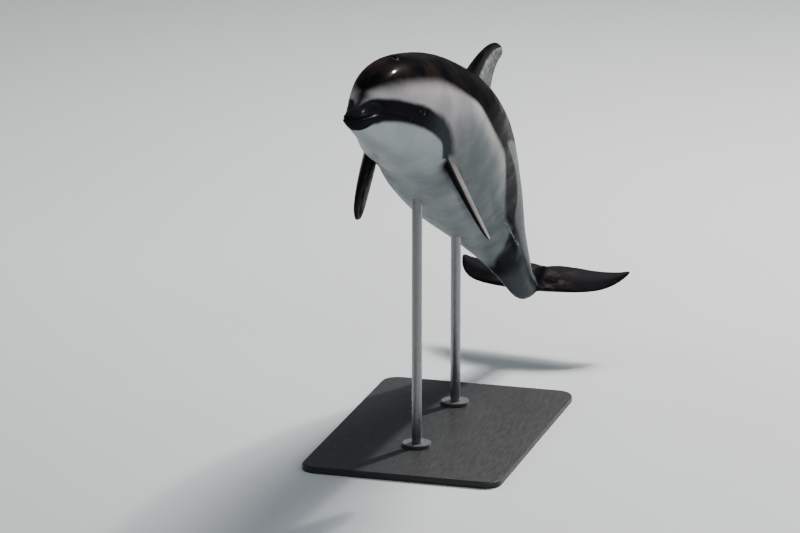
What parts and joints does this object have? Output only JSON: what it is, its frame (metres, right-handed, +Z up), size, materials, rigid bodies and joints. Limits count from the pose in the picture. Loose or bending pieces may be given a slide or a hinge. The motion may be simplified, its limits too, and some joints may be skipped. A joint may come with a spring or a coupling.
{
  "type": "dusky dolphin display model",
  "caption": "Life-size small dolphin posed mid leap with arched back and raised flukes, held over a flat base by slim rods.",
  "frame": {"origin": "centre of the underside of the stand's flat base", "axes": "+Z up; -Y the way the nose points; +X the animal's left"},
  "size_m": [0.5195, 1.5249, 1.0275],
  "materials": {
    "skin": "wet-looking smooth skin, black back, pale grey flank blaze, pale belly",
    "eye": "glossy dark brown",
    "stand_base": "satin black paint",
    "stand_rod": "brushed"
  },
  "bodies": {
    "root": {"chest": "skin", "dorsal_fin": "skin", "eye_left": "eye", "eye_right": "eye", "flipper_left": "skin", "flipper_right": "skin", "fluke_left": "skin", "fluke_right": "skin", "head": "skin", "loin": "skin", "lower_jaw": "skin", "stand_base": "stand_base", "stand_flange_front": "stand_rod", "stand_flange_rear": "stand_rod", "stand_rod_front": "stand_rod", "stand_rod_rear": "stand_rod", "tail_stock": "skin", "trunk": "skin"}
  },
  "joints": []
}
